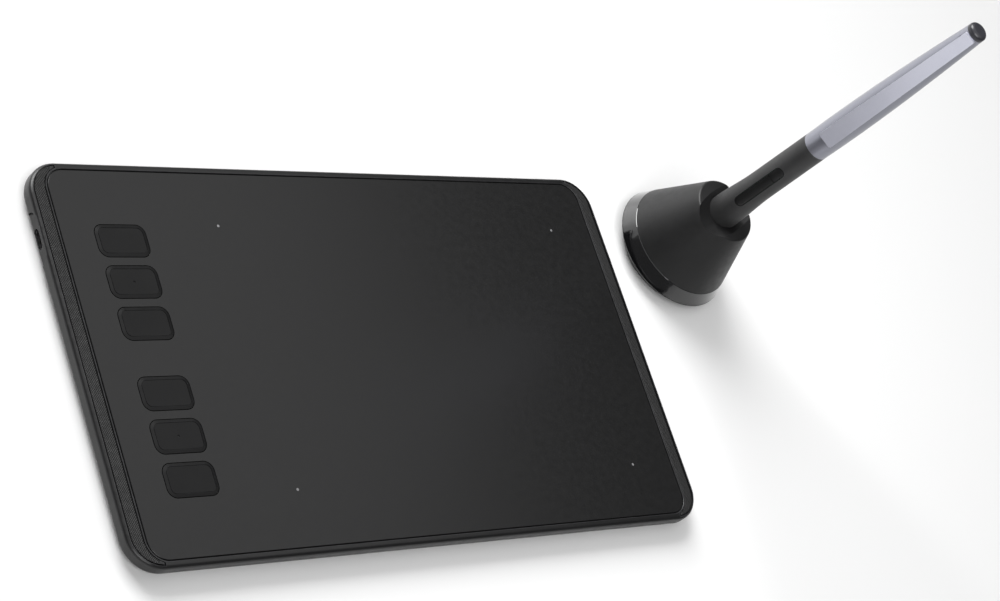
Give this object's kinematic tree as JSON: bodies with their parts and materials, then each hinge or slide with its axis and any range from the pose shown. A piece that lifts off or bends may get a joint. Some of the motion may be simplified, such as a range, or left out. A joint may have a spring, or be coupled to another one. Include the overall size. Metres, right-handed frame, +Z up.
{
  "type": "graphics tablet",
  "caption": "Slim drawing tablet with a matt working surface, press keys at one end and mesh trim, with its cordless pen upright in a conical stand.",
  "frame": {"origin": "centre of the footprint of the whole set, on the surface that it stands on", "axes": "+X along the tablet's long side, away from the keys and towards the pen stand; +Y towards the tablet's back edge; +Z up"},
  "size_m": [0.3271, 0.147, 0.179],
  "materials": {
    "housing": "fine moulded grain, black",
    "cover": "fine moulded grain, black",
    "sheet": "matt, faint tooth",
    "mark": "pale grey inlay",
    "trim": "fine raised diamond mesh",
    "key": "smooth matt",
    "plunger": "smooth",
    "foot_rubber": "matt",
    "adhesive": "thin film",
    "circuit_board": "solder mask over glass laminate",
    "screen_steel": "thin rolled sheet",
    "chip": "moulded resin",
    "screw_steel": "plated",
    "flat_lead": "amber film",
    "switch": "moulded",
    "socket_metal": "formed and plated",
    "socket_tongue": "moulded",
    "stand_shell": "soft matt black",
    "gloss_band": "polished black",
    "weight_steel": "rough",
    "inner_plastic": "moulded",
    "nib_plastic": "smooth",
    "grip_shell": "soft touch, black",
    "silver_shell": "satin metallic, cool grey",
    "cap_plastic": "satin dark grey",
    "rocker_plastic": "satin black",
    "ferrite": "sintered",
    "winding": "enamelled wire",
    "sensor_metal": "pressed can"
  },
  "bodies": {
    "root": {"top_frame": "housing", "bottom_cover": "cover", "rubber_feet": "foot_rubber", "cover_screws": "screw_steel", "drawing_surface": "sheet", "corner_marks": "mark", "surface_adhesive": "adhesive", "left_trim_strip": "trim", "right_trim_strip": "trim", "sensor_board": "circuit_board", "shield_sheet": "screen_steel", "control_board": "circuit_board", "control_chips": "chip", "board_screws": "screw_steel", "board_jumper": "flat_lead", "switch_cases": "switch", "usb_socket": "socket_metal", "usb_tongue": "socket_tongue", "stand_base": "stand_shell", "stand_band": "gloss_band", "stand_foot_pad": "foot_rubber", "stand_weight": "weight_steel", "nib_holder": "inner_plastic", "spare_nibs": "nib_plastic", "nib_puller": "screw_steel"},
    "key_1": {"key_1_cap": "key", "key_1_plunger": "plunger"},
    "key_2": {"key_2_cap": "key", "key_2_plunger": "plunger"},
    "key_3": {"key_3_cap": "key", "key_3_plunger": "plunger"},
    "key_4": {"key_4_cap": "key", "key_4_plunger": "plunger"},
    "key_5": {"key_5_cap": "key", "key_5_plunger": "plunger"},
    "key_6": {"key_6_cap": "key", "key_6_plunger": "plunger"},
    "stand_cover": {"stand_cover": "stand_shell"},
    "pen": {"pen_grip": "grip_shell", "pen_rear_barrel": "silver_shell", "pen_end_cap": "cap_plastic", "pen_ferrite_core": "ferrite", "pen_coil": "winding", "pen_pressure_sensor": "sensor_metal", "pen_carrier": "inner_plastic", "pen_circuit_board": "circuit_board", "pen_button_switches": "switch"},
    "rocker": {"pen_rocker_button": "rocker_plastic"},
    "nib": {"pen_nib": "nib_plastic", "pen_nib_rod": "nib_plastic"},
    "clip": {"pen_clip": "silver_shell"}
  },
  "joints": [
    {"name": "key_1_press", "type": "slide", "parent": "root", "child": "key_1", "axis": [0, 0, -1], "range_m": [0, 0.0005], "stiffness_N_per_m": 800, "springref_m": -0.0001},
    {"name": "key_2_press", "type": "slide", "parent": "root", "child": "key_2", "axis": [0, 0, -1], "range_m": [0, 0.0005], "stiffness_N_per_m": 800, "springref_m": -0.0001},
    {"name": "key_3_press", "type": "slide", "parent": "root", "child": "key_3", "axis": [0, 0, -1], "range_m": [0, 0.0005], "stiffness_N_per_m": 800, "springref_m": -0.0001},
    {"name": "key_4_press", "type": "slide", "parent": "root", "child": "key_4", "axis": [0, 0, -1], "range_m": [0, 0.0005], "stiffness_N_per_m": 800, "springref_m": -0.0001},
    {"name": "key_5_press", "type": "slide", "parent": "root", "child": "key_5", "axis": [0, 0, -1], "range_m": [0, 0.0005], "stiffness_N_per_m": 800, "springref_m": -0.0001},
    {"name": "key_6_press", "type": "slide", "parent": "root", "child": "key_6", "axis": [0, 0, -1], "range_m": [0, 0.0005], "stiffness_N_per_m": 800, "springref_m": -0.0001},
    {"name": "stand_cover_lift", "type": "slide", "parent": "root", "child": "stand_cover", "axis": [0, 0, 1], "range_m": [0, 0.03]},
    {"name": "pen_lift", "type": "slide", "parent": "stand_cover", "child": "pen", "axis": [0, 0, 1], "range_m": [0, 0.06]},
    {"name": "rocker_tilt", "type": "hinge", "parent": "pen", "child": "rocker", "pos_m": [0.13407, 0.0426, 0.06245], "axis": [0.4321, -0.9018, 0], "range_deg": [-2.5, 2.5], "stiffness_Nm_per_rad": 0.1},
    {"name": "nib_press", "type": "slide", "parent": "pen", "child": "nib", "axis": [0, 0, 1], "range_m": [0, 0.0005], "stiffness_N_per_m": 1000, "springref_m": -0.0001},
    {"name": "clip_flex", "type": "hinge", "parent": "pen", "child": "clip", "pos_m": [0.13362, 0.04238, 0.1725], "axis": [-0.4321, 0.9018, 0], "range_deg": [0, 3], "stiffness_Nm_per_rad": 1}
  ]
}
